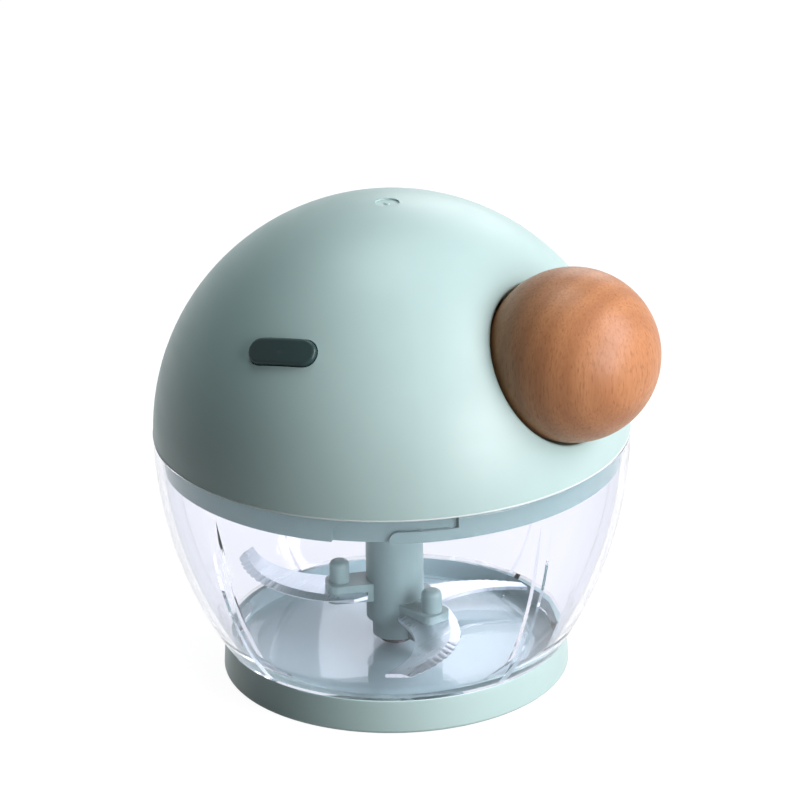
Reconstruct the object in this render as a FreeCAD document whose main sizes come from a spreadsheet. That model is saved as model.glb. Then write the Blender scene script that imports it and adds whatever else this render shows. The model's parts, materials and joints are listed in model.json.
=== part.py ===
import FreeCAD, Part
import math
import os
import re
import Sketcher
from FreeCAD import Placement, Rotation, Vector

# Hand-pulled food chopper: a clear bowl standing in a shallow dish, a domed lid that
# holds the cord reel, a wooden ball as pull handle and a column with three blades.
# Z is up, the bowl's axis is Z, the dish stands on Z = 0 and the handle faces +X.
# Lengths are in millimetres and angles in degrees.

doc = FreeCAD.newDocument("food_chopper")
sheet = doc.addObject("Spreadsheet::Sheet", "Sizes")

DIMENSIONS = [
    # bowl and dish
    ("rim_radius", 63.0), ("rim_height", 68.0), ("bowl_wall", 2.0), ("bowl_arc", 109.7),
    ("dish_foot_radius", 46.3), ("dish_lip_radius", 45.7), ("dish_height", 9.7), ("dish_wall", 1.9),
    ("dish_floor_low", 1.6), ("dish_floor_top", 4.1), ("pad_radius", 42.0), ("plug_radius", 43.6),
    ("floor_low", 4.2), ("floor_top", 6.5), ("floor_radius", 37.5), ("corner_height", 16.0),
    ("corner_arc", 24.0),
    ("wall_rib_depth", 1.2), ("wall_rib_angle", 3.6), ("wall_rib_top", 63.0), ("wall_rib_fade", 14.0),
    ("wall_rib_turn", -13.5),
    ("lug_radius", 60.45), ("lug_low", 64.3), ("lug_high", 67.1), ("lug_angle", 8.4), ("lug_turn", -43.0),
    ("pivot_radius", 2.5), ("pivot_top", 26.5), ("pivot_boss_radius", 4.2), ("pivot_boss_top", 8.0),
    # lid
    ("dome_radius", 63.0), ("dome_centre", 67.76), ("dome_wall", 2.4), ("dome_edge", 68.5),
    ("seal_inner", 60.9), ("seal_outer", 62.8), ("skirt_radius", 60.3), ("skirt_wall", 3.0),
    ("skirt_low", 60.9), ("skirt_top", 71.0), ("plate_low", 62.0), ("plate_top", 64.4),
    ("groove_radius", 59.0), ("groove_low", 64.0), ("groove_high", 67.3), ("unlock_angle", 17.5),
    ("groove_play", 1.2), ("entry_angle", 14.1), ("entry_turn", -61.55),
    ("boss_circle", 50.0), ("boss_radius", 3.6),
    # pull handle
    ("ball_radius", 22.5), ("ball_reach", 66.87), ("pull_rise", 29.85), ("socket_radius", 23.2),
    ("socket_wall", 2.2), ("socket_edge", 0.7), ("cord_radius", 0.8), ("eyelet_radius", 2.0),
    ("anchor_radius", 3.0),
    # button
    ("button_turn", -86.72), ("button_rise", 37.66), ("button_tilt", 9.0), ("button_length", 19.5),
    ("button_width", 7.0), ("button_proud", 1.3), ("button_under", 58.0), ("well_floor", 51.0),
    ("well_floor_wall", 1.4), ("well_gap", 0.25), ("well_wall", 1.5), ("stem_radius", 1.6),
    # reel
    ("axle_radius", 2.0), ("running_gap", 0.05), ("hub_radius", 9.0), ("sleeve_radius", 11.5),
    ("sleeve_top", 70.0), ("hub_flange_low", 70.6), ("hub_flange_top", 72.2), ("ring_radius", 19.5),
    ("ring_inner", 15.7), ("ring_top", 76.8), ("notch_depth", 1.6), ("notch_turn", 35.4), ("notch_slant", 4.8),
    ("notch_ramp", 20.0), ("reel_low", 77.4), ("flange", 1.6),
    ("reel_top", 88.0), ("flange_radius", 18.2), ("drum_radius", 15.5), ("drum_bore", 13.6),
    ("cord_leaves", 84.0), ("housing_inner", 21.5), ("housing_wall", 1.8), ("housing_low", 89.0),
    ("housing_top", 90.8), ("arbor_radius", 3.0), ("pawl_circle", 10.5), ("pawl_pin", 1.2),
    # blade column
    ("column_radius", 7.8), ("column_top_radius", 7.5), ("column_top", 61.5), ("column_low", 13.4),
    ("sleeve_low", 8.3), ("sleeve_outer", 6.2), ("socket_bore", 5.8), ("socket_floor", 50.0),
    ("dog_angle", 20.0), ("arm_top", 24.5), ("arm_height", 5.0), ("arm_step", 5.1), ("arm_width", 8.4),
    ("arm_reach", 18.6), ("peg_reach", 15.0), ("peg_radius", 2.7), ("peg_height", 6.1),
    ("blade_thick", 1.0), ("blade_below_top", 2.3), ("first_arm_turn", -133.5),
]
for row, (alias, value) in enumerate(DIMENSIONS, start=1):
    sheet.set(f"A{row}", alias)
    sheet.set(f"B{row}", str(value))
    sheet.setAlias(f"B{row}", alias)
doc.recompute()
ALIASES = re.compile(r"\b(" + "|".join(name for name, _ in DIMENSIONS) + r")\b")


def bound(text):
    """The expression with each alias written as a cell of the sheet."""
    return ALIASES.sub(r"Sizes.\1", str(text))


def amount(text):
    """The expression's value as a plain number."""
    value = sheet.evalExpression(bound(text))
    return float(getattr(value, "Value", value))


# ---------------------------------------------------------------- sketches and features

def new_body(label):
    body = doc.addObject("PartDesign::Body", label)
    body.Label = label
    return body


def origin_part(body, role):
    return next(item for item in body.Origin.OriginFeatures if item.Role == role)


def new_sketch(body, name, role="XY_Plane", lift="0", turn="0"):
    """A sketch on an origin plane, lifted along its normal and turned about the body's Z."""
    sketch = body.newObject("Sketcher::SketchObject", name)
    sketch.AttachmentSupport = [(origin_part(body, role), "")]
    sketch.MapMode = "FlatFace"
    turn_axis = Vector(0, 0, 1) if role == "XY_Plane" else Vector(0, 1, 0)
    sketch.AttachmentOffset = Placement(Vector(0, 0, amount(lift)), Rotation(turn_axis, amount(turn)))
    sketch.setExpression("AttachmentOffset.Base.z", bound(lift))
    return sketch


def fix_point(sketch, edge, end, corner):
    """Binds one sketch point's coordinates to expressions."""
    for kind, axis, text in (("DistanceX", -2, corner[0]), ("DistanceY", -1, corner[1])):
        value = amount(text)
        if abs(value) < 1e-9:
            sketch.addConstraint(Sketcher.Constraint("PointOnObject", edge, end, axis))
            continue
        index = sketch.addConstraint(Sketcher.Constraint(kind, -1, 1, edge, end, value))
        sketch.setExpression(f"Constraints[{index}]", bound(text))


def draw_outline(sketch, corners):
    """A closed outline of corners (x, y). An edge that leaves a corner (x, y, radius) is an
    arc: a positive radius has its centre to the left of the edge, a negative one to the right."""
    first = sketch.GeometryCount
    points = [Vector(amount(corner[0]), amount(corner[1]), 0) for corner in corners]
    ends = []
    for index, corner in enumerate(corners):
        here, there = points[index], points[(index + 1) % len(points)]
        if len(corner) == 2:
            sketch.addGeometry(Part.LineSegment(here, there), False)
            ends.append((1, 2))
            continue
        radius = amount(corner[2])
        half = (there - here) * 0.5
        side = Vector(-half.y, half.x, 0).normalize() * math.copysign(1, radius)
        centre = here + half + side * math.sqrt(radius ** 2 - half.Length ** 2)
        start, stop = (here, there) if radius > 0 else (there, here)
        angles = [math.atan2(point.y - centre.y, point.x - centre.x) for point in (start, stop)]
        circle = Part.Circle(centre, Vector(0, 0, 1), abs(radius))
        sketch.addGeometry(Part.ArcOfCircle(circle, angles[0], angles[1]), False)
        ends.append((1, 2) if radius > 0 else (2, 1))
    for index, corner in enumerate(corners):
        following = (index + 1) % len(corners)
        join = Sketcher.Constraint("Coincident", first + index, ends[index][1],
                                   first + following, ends[following][0])
        sketch.addConstraint(join)
    for index, corner in enumerate(corners):
        fix_point(sketch, first + index, ends[index][0], corner)
        if len(corner) == 3:
            radius = Sketcher.Constraint("Radius", first + index, abs(amount(corner[2])))
            place = sketch.addConstraint(radius)
            sketch.setExpression(f"Constraints[{place}]", f"abs({bound(corner[2])})")


def draw_circle(sketch, x, y, radius):
    circle = Part.Circle(Vector(amount(x), amount(y), 0), Vector(0, 0, 1), amount(radius))
    edge = sketch.addGeometry(circle, False)
    fix_point(sketch, edge, 3, (x, y))
    index = sketch.addConstraint(Sketcher.Constraint("Radius", edge, amount(radius)))
    sketch.setExpression(f"Constraints[{index}]", bound(radius))


def turned(body, name, corners, cut=False, angle="360", turn="0"):
    """A profile in the XZ plane (radius, height), turned about Z and centred on its turn."""
    sketch = new_sketch(body, name + "_profile", "XZ_Plane", turn=turn)
    draw_outline(sketch, corners)
    feature = body.newObject("PartDesign::Groove" if cut else "PartDesign::Revolution", name)
    feature.Profile = (sketch, [""])
    feature.ReferenceAxis = (sketch, ["V_Axis"])
    feature.Midplane = angle != "360"
    feature.setExpression("Angle", bound(angle))
    doc.recompute()
    return feature


def raised(body, name, low, high, corners=None, circles=(), cut=False, turn="0"):
    """An outline in plan, padded or cut from the height low up to the height high."""
    sketch = new_sketch(body, name + "_outline", lift=low, turn=turn)
    if corners:
        draw_outline(sketch, corners)
    for circle in circles:
        draw_circle(sketch, *circle)
    feature = body.newObject("PartDesign::Pocket" if cut else "PartDesign::Pad", name)
    feature.Profile = (sketch, [""])
    feature.Reversed = cut
    feature.setExpression("Length", bound(f"({high}) - ({low})"))
    doc.recompute()
    return feature


def repeated(body, name, features, count):
    """The features repeated evenly about Z."""
    pattern = body.newObject("PartDesign::PolarPattern", name)
    pattern.Originals = features
    pattern.Axis = (origin_part(body, "Z_Axis"), [""])
    pattern.Angle = 360
    pattern.Occurrences = count
    body.Tip = pattern
    doc.recompute()
    return pattern


def edges_where(shape, test):
    return [f"Edge{number}" for number, edge in enumerate(shape.Edges, start=1) if test(edge)]


def rounded(body, name, radius, test):
    """A fillet on the edges of the body's tip that pass the test."""
    tip = body.Tip
    fillet = body.newObject("PartDesign::Fillet", name)
    fillet.Base = (tip, edges_where(tip.Shape, test))
    fillet.Radius = radius
    doc.recompute()
    return fillet


def points_out(edge, radius, reach):
    """Whether an edge runs outwards from a radius about Z, for at least the reach."""
    if len(edge.Vertexes) != 2:
        return False
    near, far = sorted(math.hypot(vertex.X, vertex.Y) for vertex in edge.Vertexes)
    return abs(near - radius) < 0.01 and reach < far - near < reach + 1


def turn_of(edge):
    """The angle about Z, in degrees, at which an edge starts."""
    return math.degrees(math.atan2(edge.Vertexes[0].Y, edge.Vertexes[0].X))


def circle_of(edge):
    """The edge's circle, or None for a line, another curve or the point at a sphere's pole."""
    if edge.Degenerated or not isinstance(edge.Curve, Part.Circle):
        return None
    return edge.Curve


def is_circle(edge, radius, height):
    """Whether the edge is a horizontal circle of this radius at this height."""
    circle = circle_of(edge)
    if circle is None or abs(abs(circle.Axis.z) - 1) > 1e-6:
        return False
    return abs(circle.Radius - radius) < 0.01 and abs(circle.Center.z - height) < 0.01


def primitive(kind, name, base=("0", "0", "0"), spin=None, **sizes):
    """A Part primitive with its sizes and its place bound to expressions."""
    item = doc.addObject(kind, name)
    place = Vector(*(amount(text) for text in base))
    item.Placement = Placement(place, spin or Rotation())
    for size, text in sizes.items():
        item.setExpression(size, bound(text))
    for axis, text in zip("xyz", base):
        item.setExpression(f"Placement.Base.{axis}", bound(text))
    return item


def cut_from(name, base, tools):
    """The base with every tool cut away."""
    merged = tools[0]
    if len(tools) > 1:
        merged = doc.addObject("Part::MultiFuse", name + "_tools")
        merged.Shapes = tools
    result = doc.addObject("Part::Cut", name)
    result.Base = base
    result.Tool = merged
    doc.recompute()
    return result


def fused(name, items):
    result = doc.addObject("Part::MultiFuse", name)
    result.Shapes = items
    doc.recompute()
    return result


def plain(label, shape):
    """A sub-part whose shape comes from Part's own functions."""
    item = doc.addObject("Part::Feature", label)
    item.Shape = shape
    return item


# ---------------------------------------------------------------- directions and places

PULL = Vector(math.cos(math.radians(amount("pull_rise"))), 0, math.sin(math.radians(amount("pull_rise"))))
PULL_SPIN = Rotation(Vector(0, 1, 0), 90 - amount("pull_rise"))


def along_pull(distance):
    """Expressions for the point on the pull axis at this distance from the dome's centre."""
    return (f"({distance}) * cos(pull_rise)", "0", f"dome_centre + ({distance}) * sin(pull_rise)")


def button_frame():
    """Local Z points out of the dome through the button, local X along the button."""
    turn, rise = math.radians(amount("button_turn")), math.radians(amount("button_rise"))
    outward = Vector(math.cos(rise) * math.cos(turn), math.cos(rise) * math.sin(turn), math.sin(rise))
    level = Vector(-math.sin(turn), math.cos(turn), 0)
    frame = Rotation(level, outward.cross(level), outward, "ZXY")
    return frame.multiply(Rotation(Vector(0, 0, 1), amount("button_tilt")))


BUTTON_PLACE = Placement(Vector(0, 0, amount("dome_centre")), button_frame())


def capsule(label, length, width, low, high):
    """A block with round ends, standing on the button's axis."""
    body = new_body(label)
    half = f"(({length}) - ({width})) / 2"
    edge, radius = f"({width}) / 2", f"({width}) / 2 + 0.0001"
    corners = [(f"-{half}", f"-{edge}"), (half, f"-{edge}", radius), (half, edge), (f"-{half}", edge, radius)]
    raised(body, label + "_block", low, high, corners)
    body.Placement = BUTTON_PLACE
    body.setExpression("Placement.Base.z", bound("dome_centre"))
    return body


# ---------------------------------------------------------------- bowl and dish

def wall_radius(height, depth="0"):
    """Radius of the bowl's curved wall at a height, that far inside its outer face."""
    centre = "rim_radius - bowl_arc"
    return f"{centre} + sqrt((bowl_arc - ({depth}))^2 - (rim_height - ({height}))^2)"


def make_bowl():
    bowl = new_body("bowl")
    inner = "bowl_wall"
    turned(bowl, "bowl_wall_and_floor", [
        ("0", "floor_low"), ("plug_radius - 1.2", "floor_low"), ("plug_radius", "floor_low + 1.2"),
        ("plug_radius", "dish_height + 0.1"),
        (wall_radius("dish_height + 0.1"), "dish_height + 0.1", "bowl_arc"),
        ("rim_radius", "rim_height"), ("rim_radius - bowl_wall", "rim_height", "-(bowl_arc - bowl_wall)"),
        (wall_radius("corner_height", inner), "corner_height", "-corner_arc"),
        ("floor_radius", "floor_top"), ("0", "floor_top")])
    rim = amount("rim_radius")
    rounded(bowl, "rim_round", 0.4, lambda edge: is_circle(edge, rim, amount("rim_height")))
    face, root = "bowl_wall + wall_rib_depth", "bowl_wall - 0.6"
    rib = turned(bowl, "wall_rib", [
        (wall_radius("corner_height", root), "corner_height", f"bowl_arc - ({root})"),
        (wall_radius("wall_rib_top", root), "wall_rib_top"),
        (wall_radius("wall_rib_top - wall_rib_fade", face), "wall_rib_top - wall_rib_fade",
         f"-(bowl_arc - ({face}))"),
        (wall_radius("corner_height", face), "corner_height"),
        ("floor_radius - 1", "floor_top - 0.4"), ("floor_radius + 3.2", "floor_top - 0.4")],
        angle="wall_rib_angle", turn="wall_rib_turn")
    repeated(bowl, "wall_ribs", [rib], 4)
    lug = turned(bowl, "rim_lug", [
        ("lug_radius", "lug_low + 0.2"), ("rim_radius - 1", "lug_low"),
        ("rim_radius - 1", "lug_high"), ("lug_radius", "lug_high - 0.2")],
        angle="lug_angle", turn="lug_turn")
    repeated(bowl, "rim_lugs", [lug], 3)
    face = amount("lug_radius")
    rounded(bowl, "lug_round", 1.1, lambda edge: points_out(edge, face, 0.3))
    raised(bowl, "pivot_boss", "floor_top - 0.5", "pivot_boss_top", circles=[("0", "0", "pivot_boss_radius")])
    raised(bowl, "pivot_hole", "floor_low + 0.8", "pivot_boss_top + 1", cut=True,
           circles=[("0", "0", "pivot_radius + 0.01")])
    return bowl


def make_base_dish():
    dish = new_body("base_dish")
    turned(dish, "dish_profile", [
        ("0", "dish_floor_low"), ("pad_radius + 0.1", "dish_floor_low"), ("pad_radius + 0.1", "0.2"),
        ("dish_foot_radius - 0.8", "0.2", "0.8"), ("dish_foot_radius", "1"),
        ("dish_lip_radius", "dish_height"), ("dish_lip_radius - dish_wall", "dish_height"),
        ("dish_lip_radius - dish_wall", "dish_floor_top"), ("0", "dish_floor_top")])
    lip = amount("dish_lip_radius")
    rounded(dish, "lip_round", 0.5, lambda edge: is_circle(edge, lip, amount("dish_height")))
    return dish


def make_foot_pad():
    pad = new_body("foot_pad")
    turned(pad, "pad_profile", [
        ("0", "0"), ("pad_radius - 0.3", "0"), ("pad_radius", "0.3"),
        ("pad_radius", "dish_floor_low - 0.02"), ("0", "dish_floor_low - 0.02")])
    return pad


def make_pivot_pin():
    pin = new_body("pivot_pin")
    raised(pin, "pin_shaft", "floor_low + 0.8", "pivot_top", circles=[("0", "0", "pivot_radius")])
    top = amount("pivot_top")
    rounded(pin, "pin_nose", 0.8, lambda edge: is_circle(edge, amount("pivot_radius"), top))
    return pin


# ---------------------------------------------------------------- lid

def make_lid_seal():
    seal = new_body("lid_seal")
    turned(seal, "seal_profile", [
        ("seal_inner", "rim_height"), ("seal_outer", "rim_height"),
        ("seal_outer", "dome_edge - 0.05"), ("seal_inner", "dome_edge - 0.05")])
    return seal


def boss_places():
    return [(f"boss_circle * cos({turn})", f"boss_circle * sin({turn})") for turn in (60, 180, 300)]


def make_dome_shell():
    centre = ("0", "0", "dome_centre")
    spin = Rotation(Vector(0, 0, 1), 135)
    outer = primitive("Part::Sphere", "dome_outer", centre, spin, Radius="dome_radius")
    inner = primitive("Part::Sphere", "dome_inner", centre, spin, Radius="dome_radius - dome_wall")
    ball = along_pull("ball_reach")
    cup = primitive("Part::Sphere", "cup_outer", ball, PULL_SPIN, Radius="socket_radius + socket_wall")
    well = capsule("well_outer", "button_length + 2 * (well_gap + well_wall)",
                   "button_width + 2 * (well_gap + well_wall)", "well_floor", "dome_radius - 1")
    bosses = [primitive("Part::Cylinder", f"dome_boss_{number}", (x, y, "dome_edge - 1"),
                        Radius="boss_radius", Height="40")
              for number, (x, y) in enumerate(boss_places())]
    hollow = cut_from("dome_hollow", inner, [cup, well] + bosses)
    shell = cut_from("dome_skin", outer, [hollow])
    below = primitive("Part::Cylinder", "below_edge", ("0", "0", "-20"),
                      Radius="dome_radius + 5", Height="dome_edge + 20")
    socket = primitive("Part::Sphere", "socket_space", ball, PULL_SPIN, Radius="socket_radius")
    eyelet = primitive("Part::Cylinder", "eyelet_hole", along_pull("ball_reach - socket_radius - 5"),
                       PULL_SPIN, Radius="eyelet_radius + 0.02", Height="8")
    pocket = capsule("well_space", "button_length + 2 * well_gap", "button_width + 2 * well_gap",
                     "well_floor + well_floor_wall", "dome_radius + 6")
    stem = primitive("Part::Cylinder", "stem_hole", centre, BUTTON_PLACE.Rotation,
                     Radius="stem_radius + running_gap", Height="well_floor + 4")
    bores = [primitive("Part::Cylinder", f"dome_boss_bore_{number}", (x, y, "dome_edge - 2"),
                       Radius="1.3", Height="14") for number, (x, y) in enumerate(boss_places())]
    dimple = primitive("Part::Cylinder", "pole_dimple", ("0", "0", "dome_centre + dome_radius - 0.45"),
                       Radius="3.2", Height="2")
    opened = cut_from("dome_opened", shell, [below, socket, eyelet, pocket, stem, dimple] + bores)
    nub = primitive("Part::Cylinder", "pole_nub", ("0", "0", "dome_centre + dome_radius - 1"),
                    Radius="0.7", Height="0.85")
    joined = fused("dome_joined", [opened, nub])
    reach = (amount("dome_radius") ** 2 - amount("socket_radius") ** 2 + amount("ball_reach") ** 2)
    reach = reach / (2 * amount("ball_reach"))
    edge_radius = math.sqrt(amount("dome_radius") ** 2 - reach ** 2)
    dome = doc.addObject("Part::Fillet", "dome_shell")
    dome.Base = joined
    doc.recompute()
    names = edges_where(joined.Shape, lambda edge: circle_of(edge) is not None
                        and abs(circle_of(edge).Radius - edge_radius) < 0.01)
    softening = amount("socket_edge")
    dome.Edges = [(int(name[4:]), softening, softening) for name in names]
    doc.recompute()
    return dome


def make_lid_plate():
    plate = new_body("lid_plate")
    turned(plate, "plate_profile", [
        ("hub_radius + running_gap", "plate_low"), ("skirt_radius - skirt_wall", "plate_low"),
        ("skirt_radius - skirt_wall", "skirt_low"), ("skirt_radius", "skirt_low"),
        ("skirt_radius", "skirt_top"), ("skirt_radius - 1.6", "skirt_top"),
        ("skirt_radius - 3", "plate_top"), ("sleeve_radius", "plate_top"),
        ("sleeve_radius", "sleeve_top"), ("hub_radius + running_gap", "sleeve_top")])
    run = turned(plate, "lock_run", [
        ("groove_radius", "groove_low"), ("skirt_radius + 1", "groove_low"),
        ("skirt_radius + 1", "groove_high"), ("groove_radius", "groove_high")], cut=True,
        angle="unlock_angle + lug_angle + 2 * groove_play", turn="lug_turn - unlock_angle / 2")
    entry = turned(plate, "lock_entry", [
        ("groove_radius", "skirt_low - 1"), ("skirt_radius + 1", "skirt_low - 1"),
        ("skirt_radius + 1", "groove_high"), ("groove_radius", "groove_high")], cut=True,
        angle="entry_angle", turn="entry_turn")
    repeated(plate, "locks", [run, entry], 3)
    groove, third = amount("groove_radius"), 120
    for name, radius, level, side in (("corner", 2.4, "groove_low", 1), ("flare", 5.0, "groove_high", -1)):
        turn = amount(f"entry_turn + {side} * entry_angle / 2") % third
        height = amount(level)
        rounded(plate, "entry_" + name, radius, lambda edge: (
            points_out(edge, groove, 1) and abs(edge.Vertexes[0].Z - height) < 0.01
            and abs(turn_of(edge) % third - turn) < 0.1))
    places = boss_places()
    raised(plate, "screw_towers", "plate_top - 1", "dome_edge - 0.1",
           circles=[(x, y, "boss_radius") for x, y in places])
    raised(plate, "screw_heads", "plate_low - 1", "plate_low + 1.6", cut=True,
           circles=[(x, y, "2.9") for x, y in places])
    raised(plate, "screw_ways", "plate_low - 1", "dome_edge + 1", cut=True,
           circles=[(x, y, "1.6") for x, y in places])
    raised(plate, "housing_bosses", "skirt_low", "plate_low + 0.5",
           circles=[(x, y, "2.8") for x, y in housing_screw_places()])
    raised(plate, "housing_bores", "plate_low - 0.3", "plate_top + 1", cut=True,
           circles=[(x, y, "1.2") for x, y in housing_screw_places()])
    return plate


def screw(name, x, y, head_low, head_radius, head_height, shank_radius, shank_from, shank_to):
    """A pan-head screw: a turned head, and a shank on the same axis."""
    head = primitive("Part::Cylinder", name + "_head", (x, y, head_low), Radius=head_radius,
                     Height=head_height)
    shank = primitive("Part::Cylinder", name + "_shank", (x, y, shank_from), Radius=shank_radius,
                      Height=f"({shank_to}) - ({shank_from})")
    drive_place = (x, y, f"{head_low} - 0.4" if amount(head_low) < amount(shank_from) + 0.01
                   else f"{head_low} + {head_height} - 0.6")
    drive = primitive("Part::Cylinder", name + "_drive", drive_place, Radius=f"{head_radius} * 0.4",
                      Height="1")
    return cut_from(name, fused(name + "_blank", [head, shank]), [drive])


def make_dome_screws():
    screws = [screw(f"dome_screw_{number}", x, y, "plate_low", "2.7", "1.5", "1.28",
                    "plate_low + 1", "dome_edge + 11")
              for number, (x, y) in enumerate(boss_places())]
    group = doc.addObject("Part::Compound", "dome_screws")
    group.Links = screws
    doc.recompute()
    return group


# ---------------------------------------------------------------- cord reel

def housing_screw_places():
    return [(f"(housing_inner + 5) * cos({turn})", f"(housing_inner + 5) * sin({turn})")
            for turn in (90, 210, 330)]


def make_reel_housing():
    housing = new_body("reel_housing")
    outer = "housing_inner + housing_wall"
    turned(housing, "housing_profile", [
        ("housing_inner", "plate_top"), (outer, "plate_top"), (outer, "housing_top"),
        ("axle_radius + 0.01", "housing_top"), ("axle_radius + 0.01", "reel_low + flange + 0.8"),
        ("arbor_radius", "reel_low + flange + 0.8"), ("arbor_radius", "housing_low"),
        ("housing_inner", "housing_low")])
    for number, (x, y) in enumerate(housing_screw_places()):
        raised(housing, f"ear_{number}", "plate_top", "plate_top + 2", circles=[(x, y, "3.4")])
        raised(housing, f"ear_bore_{number}", "plate_top - 1", "plate_top + 3", cut=True,
               circles=[(x, y, "1.5")])
    window = [("17", "-11"), ("26", "-11"), ("26", "-3"), ("17", "-3")]
    raised(housing, "cord_window", "cord_leaves - 1", "housing_low - 0.5", window, cut=True)
    return housing


def make_housing_screws():
    screws = [screw(f"housing_screw_{number}", x, y, "plate_top + 2", "2.5", "1.6", "1.18",
                    "plate_low", "plate_top + 2.5")
              for number, (x, y) in enumerate(housing_screw_places())]
    group = doc.addObject("Part::Compound", "housing_screws")
    group.Links = screws
    doc.recompute()
    return group


def make_spool_axle():
    axle = new_body("spool_axle")
    raised(axle, "axle_shaft", "sleeve_top - 4", "housing_top", circles=[("0", "0", "axle_radius")])
    return axle


def make_hub_washer():
    washer = new_body("hub_washer")
    turned(washer, "washer_profile", [
        ("hub_radius + running_gap", "sleeve_top"), ("sleeve_radius", "sleeve_top"),
        ("sleeve_radius", "hub_flange_low - 0.05"), ("hub_radius + running_gap", "hub_flange_low - 0.05")])
    return washer


def dog_outline(inner, outer, angle):
    """A tooth between two radii that is as wide as the angle, centred on the local X axis."""
    half = f"({angle}) / 2"
    near, far = f"({inner}) * cos({half})", f"({outer}) * cos({half})"
    near_side, far_side = f"({inner}) * sin({half})", f"({outer}) * sin({half})"
    return [(near, f"-{near_side}"), (far, f"-{far_side}", outer), (far, far_side), (near, near_side)]


def make_drive_hub():
    hub = new_body("drive_hub")
    bore = "axle_radius + running_gap"
    turned(hub, "hub_profile", [
        ("0", "socket_floor + 0.6"), ("4.2", "socket_floor + 0.6"), ("4.2", "plate_low - 0.2"),
        ("hub_radius", "plate_low - 0.2"), ("hub_radius", "hub_flange_low"),
        ("ring_radius", "hub_flange_low"), ("ring_radius", "ring_top"), ("ring_inner", "ring_top"),
        ("ring_inner", "hub_flange_top"), ("5", "hub_flange_top"), ("5", "hub_flange_top + 1.8"),
        (bore, "hub_flange_top + 1.8"), (bore, "sleeve_top - 5"), ("0", "sleeve_top - 5")])
    dog = raised(hub, "hub_dog", "socket_floor + 0.6", "plate_low", dog_outline("3.6", "5.6", "dog_angle"),
                 turn="60")
    repeated(hub, "hub_dogs", [dog], 3)
    near = "(ring_inner - 0.3)"
    notch = [(f"{near} * cos(notch_slant)", f"{near} * sin(notch_slant)"), ("ring_inner + notch_depth", "0"),
             (f"{near} * cos(notch_ramp)", f"-{near} * sin(notch_ramp)")]
    first = raised(hub, "ratchet_notch", "hub_flange_top", "ring_top + 1", notch, cut=True, turn="notch_turn")
    repeated(hub, "ratchet_notches", [first], 12)
    return hub


def make_spool():
    spool = new_body("spool")
    bore = "axle_radius + running_gap"
    turned(spool, "spool_profile", [
        (bore, "reel_low"), ("flange_radius", "reel_low"), ("flange_radius", "reel_low + flange"),
        ("drum_radius", "reel_low + flange"), ("drum_radius", "reel_top - flange"),
        ("flange_radius", "reel_top - flange"), ("flange_radius", "reel_top"),
        ("drum_bore", "reel_top"), ("drum_bore", "reel_low + flange"), (bore, "reel_low + flange")])
    pins = [("pawl_circle", "0", "pawl_pin"), ("-pawl_circle", "0", "pawl_pin")]
    raised(spool, "pawl_pins", "hub_flange_top + 0.5", "reel_low + 0.5", circles=pins)
    return spool


def make_clutch_pawl(label, turn):
    """A pawl on its pin, its tip in a notch of the hub's ratchet ring."""
    pawl = new_body(label)
    outline = [
        ("pawl_circle - 1.6", "1.4"), ("pawl_circle - 1.2", "-1.9"), ("pawl_circle + 1.8", "-1.7"),
        ("pawl_circle + 3.1", "2.6"), ("16.2 * cos(31)", "16.2 * sin(31)"),
        ("16.6 * cos(34.6)", "16.6 * sin(34.6)"), ("14.6 * cos(35)", "14.6 * sin(35)")]
    raised(pawl, label + "_arm", "hub_flange_top + 0.6", "ring_top - 0.3", outline)
    raised(pawl, label + "_eye", "hub_flange_top", "ring_top", cut=True,
           circles=[("pawl_circle", "0", "pawl_pin + running_gap")])
    pawl.Placement = Placement(Vector(), Rotation(Vector(0, 0, 1), turn))
    return pawl


def make_wound_cord():
    cord = new_body("wound_cord")
    low, high = "reel_low + flange + 0.3", "cord_leaves - cord_radius - 0.1"
    turned(cord, "wound_cord_ring", [
        ("drum_radius + 0.02", low), ("drum_radius + 2 * cord_radius", low),
        ("drum_radius + 2 * cord_radius", high), ("drum_radius + 0.02", high)])
    return cord


def make_spring_retainer():
    disc = new_body("spring_retainer")
    turned(disc, "retainer_profile", [
        ("arbor_radius + 0.6", "reel_top - 0.9"), ("drum_bore - 0.02", "reel_top - 0.9"),
        ("drum_bore - 0.02", "reel_top"), ("arbor_radius + 0.6", "reel_top")])
    return disc


def make_rewind_spring():
    """A flat spiral: half circles whose centres alternate, so that the coil grows evenly."""
    pitch, strip = 1.25, 0.45
    low, high = amount("reel_low + flange") + 0.9, amount("reel_top") - 1.3
    inner = amount("arbor_radius") + 0.15
    half_turns = int((amount("drum_bore") - 0.4 - inner - strip) / (pitch / 2))

    def spiral(start):
        arcs, radius, centre, side = [], start, 0.0, 1
        for _ in range(half_turns):
            first = Vector(centre + side * radius, 0, low)
            last = Vector(centre - side * radius, 0, low)
            arcs.append(Part.Arc(first, Vector(centre, side * radius, low), last))
            radius += pitch / 2
            centre += side * pitch / 2
            side = -side
        return arcs

    near, far = spiral(inner), spiral(inner + strip)
    ends = [Part.LineSegment(near[0].StartPoint, far[0].StartPoint),
            Part.LineSegment(near[-1].EndPoint, far[-1].EndPoint)]
    wire = Part.Wire(Part.__sortEdges__([curve.toShape() for curve in near + far + ends]))
    return plain("rewind_spring", Part.Face(wire).extrude(Vector(0, 0, high - low)))


# ---------------------------------------------------------------- pull handle

def on_pull_axis(body, distance):
    """Stands a body's own Z axis on the pull axis, its origin this far from the dome's centre."""
    place = along_pull(distance)
    body.Placement = Placement(Vector(*(amount(text) for text in place)), PULL_SPIN)
    for axis, text in zip("xyz", place):
        body.setExpression(f"Placement.Base.{axis}", bound(text))
    return body


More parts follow.
